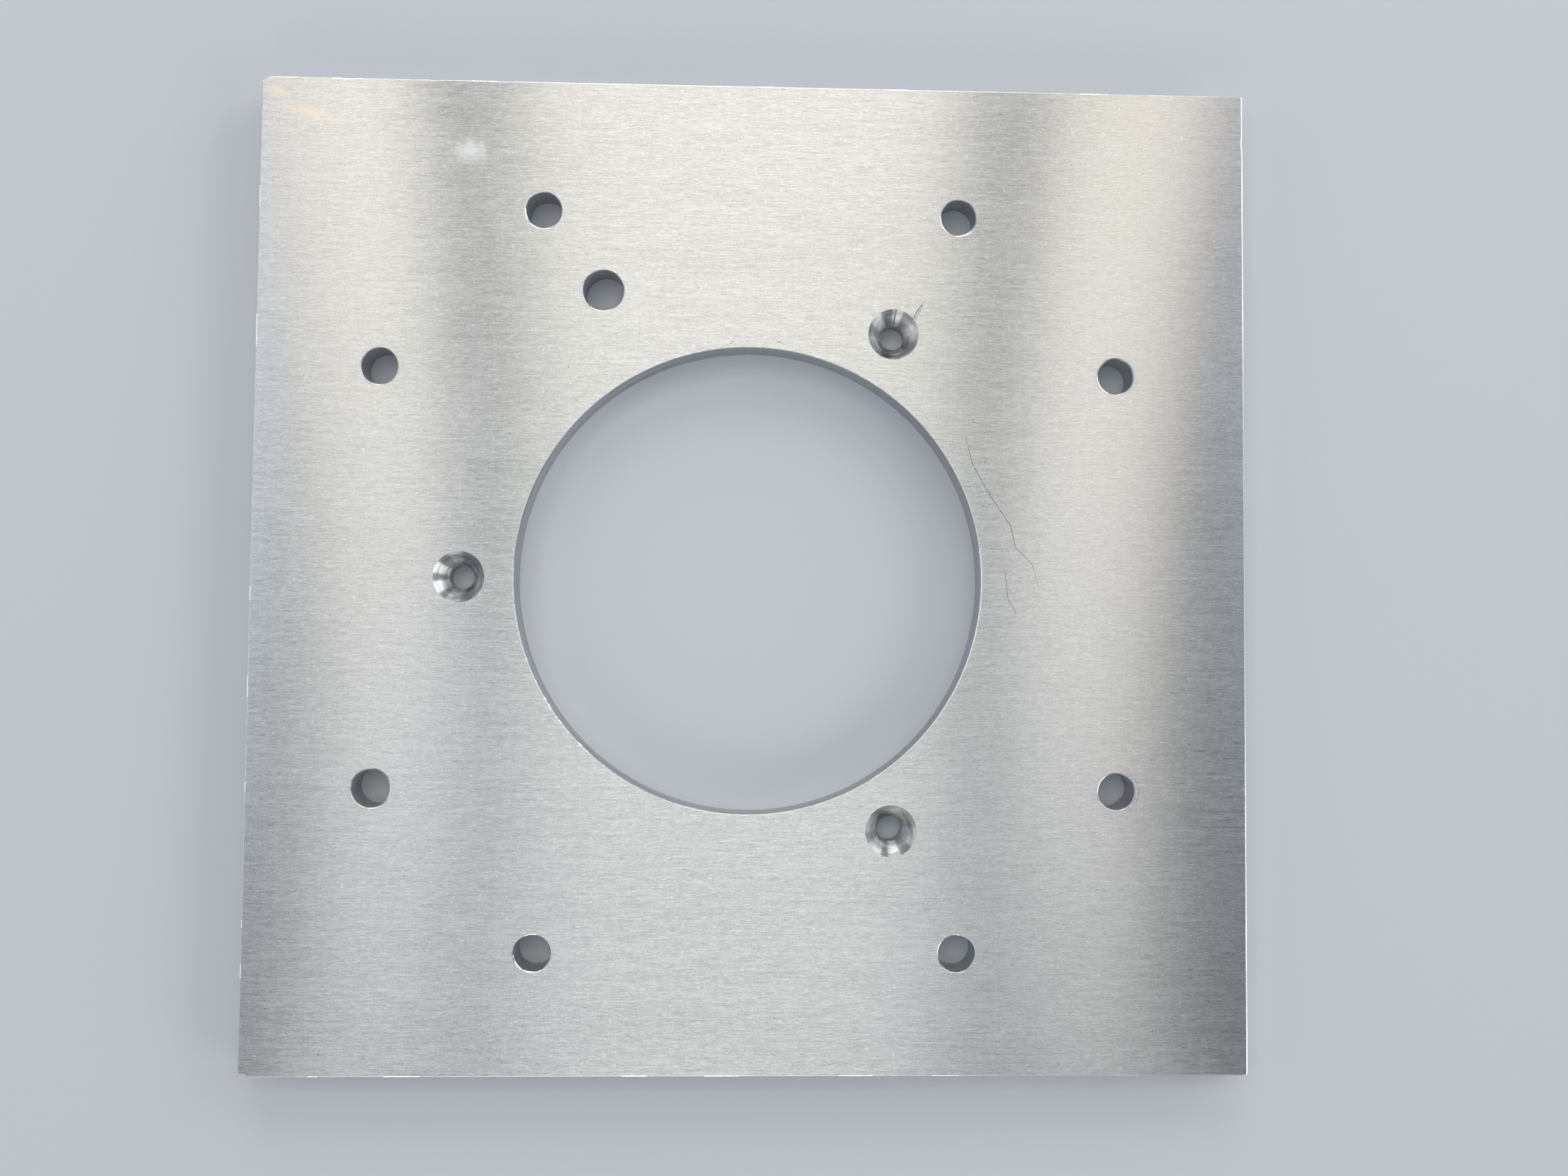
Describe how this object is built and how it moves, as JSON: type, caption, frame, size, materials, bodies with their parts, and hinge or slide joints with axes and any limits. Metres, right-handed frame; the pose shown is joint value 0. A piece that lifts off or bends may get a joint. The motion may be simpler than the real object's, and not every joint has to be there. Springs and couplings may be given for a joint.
{
  "type": "router plate",
  "caption": "Flat square aluminium plate with a large round opening for a router's bit, countersunk router screw holes about it and plain fixing holes towards its edges.",
  "frame": {"origin": "on the axis of the large opening, at the plate's back face", "axes": "+Z out of the brushed, countersunk front face; +X along the brushed grain; +Y towards the edge that the starting pin hole is nearest to"},
  "size_m": [0.2032, 0.2025, 0.0063],
  "materials": {
    "brushed_aluminium": "straight brushed grain along X, satin, with bright broken edges"
  },
  "bodies": {
    "root": {"router_plate": "brushed_aluminium"}
  },
  "joints": []
}
